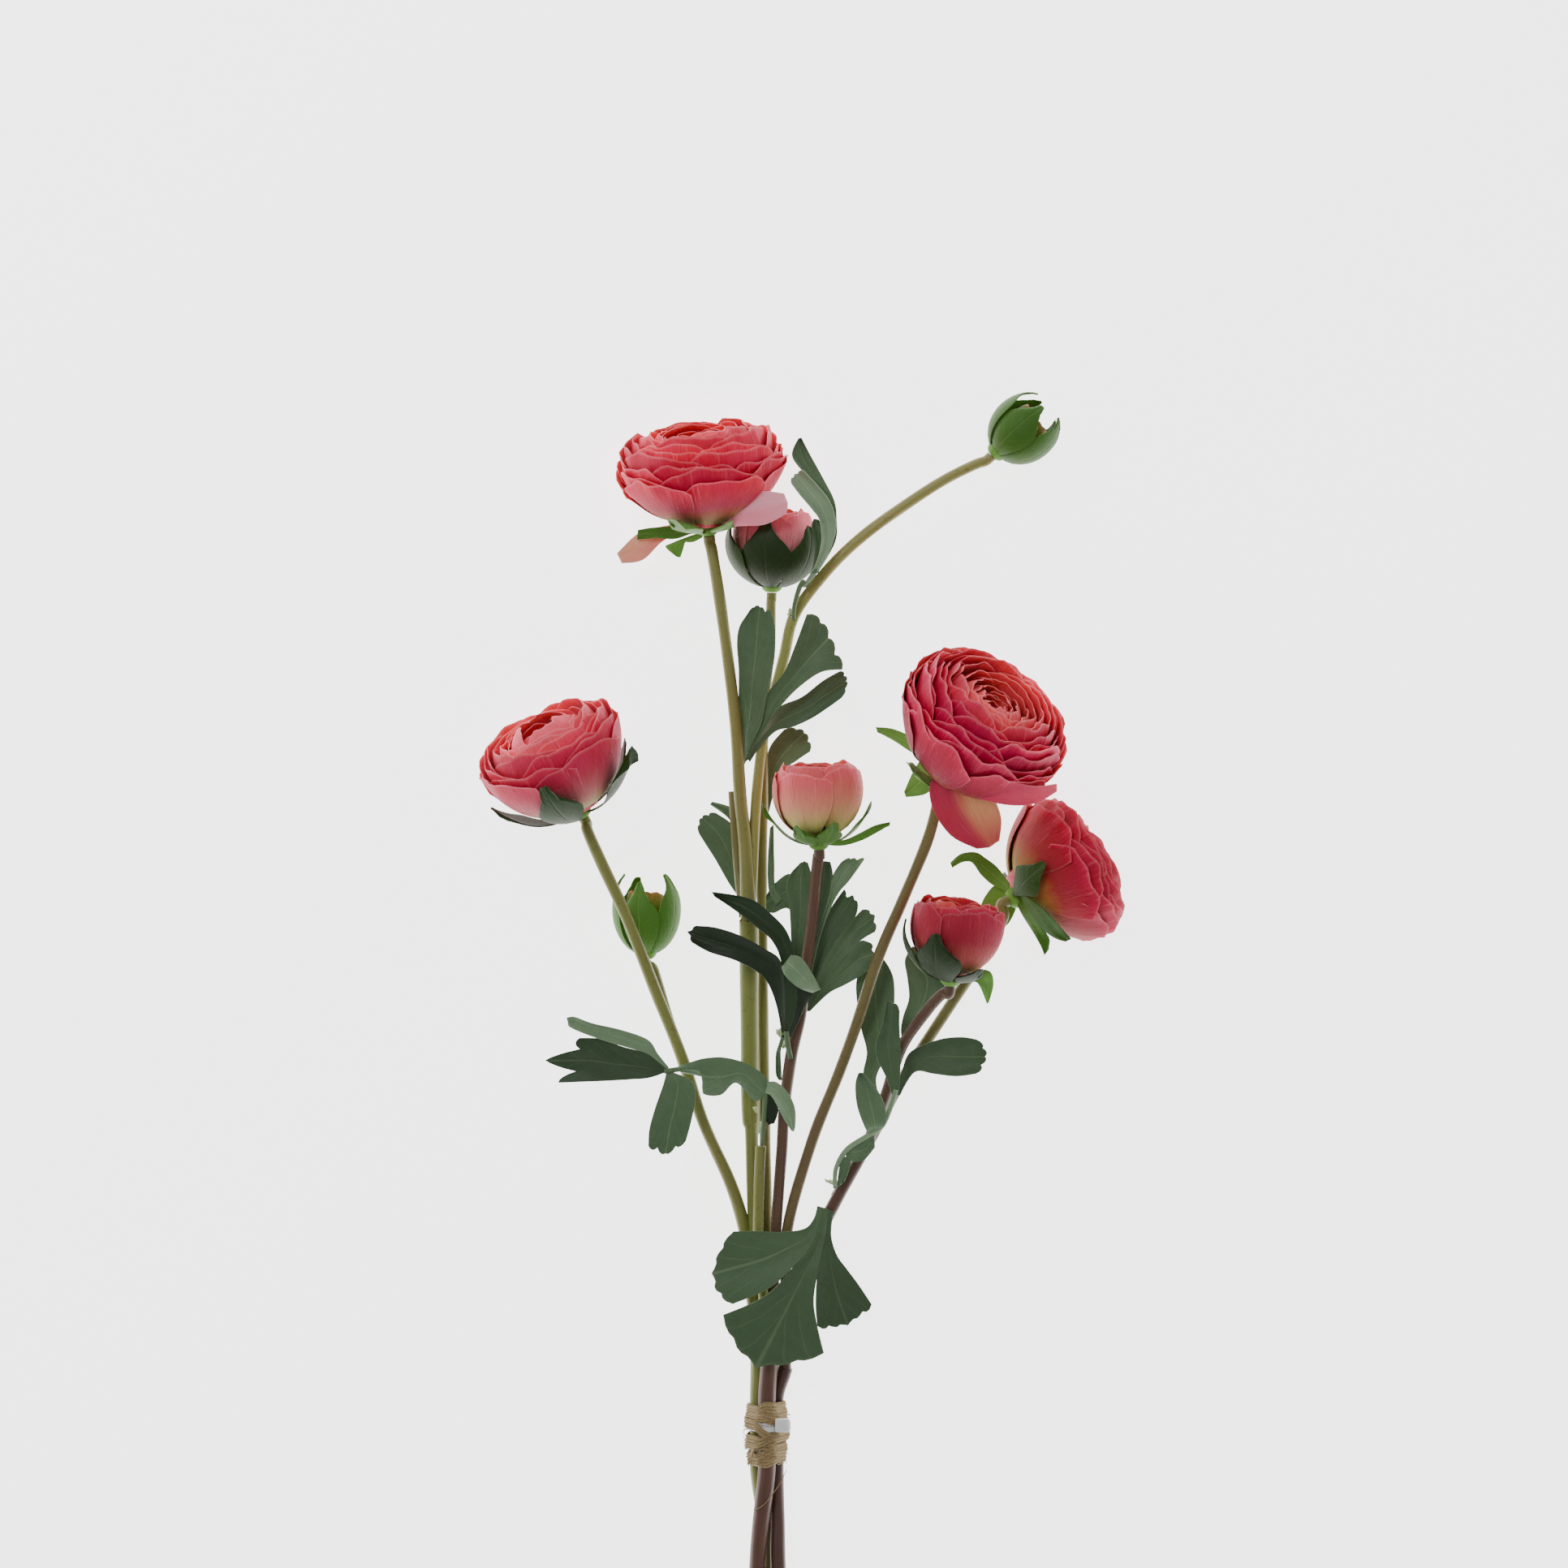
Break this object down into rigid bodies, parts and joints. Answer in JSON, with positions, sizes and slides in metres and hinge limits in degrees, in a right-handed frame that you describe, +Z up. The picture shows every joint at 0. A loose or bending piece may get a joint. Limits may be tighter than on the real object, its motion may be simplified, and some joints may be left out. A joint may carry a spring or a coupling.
{
  "type": "persian buttercup flower bunch",
  "caption": "Tied bunch of Persian buttercup stems with layered round blooms, cupped buds and cut leaves, lying on its side.",
  "frame": {"origin": "middle of the footprint, on the surface the bunch lies on", "axes": "+Z up from that surface; +Y along the stems towards the blooms; +X to the right seen from above"},
  "size_m": [0.2362, 0.4835, 0.0916],
  "materials": {
    "petal": "matte, soft",
    "sepal": "matte",
    "leaf": "matte, fine weave",
    "stem": "satin",
    "tie": "translucent white",
    "raffia": "matte, fibrous"
  },
  "bodies": {
    "root": {"bloom_a_calyx": "sepal", "bloom_a_petals": "petal", "bloom_b_calyx": "sepal", "bloom_b_petals": "petal", "bloom_c_calyx": "sepal", "bloom_c_petals": "petal", "bloom_d_calyx": "sepal", "bloom_d_petals": "petal", "bud_e_calyx": "sepal", "bud_e_petals": "petal", "bud_f_calyx": "sepal", "bud_f_petals": "petal", "bud_g_calyx": "sepal", "bud_g_petals": "petal", "bud_h_calyx": "sepal", "bud_h_petals": "petal", "bud_i_calyx": "sepal", "bud_i_petals": "petal", "cable_tie": "tie", "leaf_1": "leaf", "leaf_10": "leaf", "leaf_2": "leaf", "leaf_3": "leaf", "leaf_4": "leaf", "leaf_5": "leaf", "leaf_6": "leaf", "leaf_7": "leaf", "leaf_8": "leaf", "leaf_9": "leaf", "raffia_wrap": "raffia", "stem_spray_left": "stem", "stem_spray_mid": "stem", "stem_spray_right": "stem"}
  },
  "joints": []
}
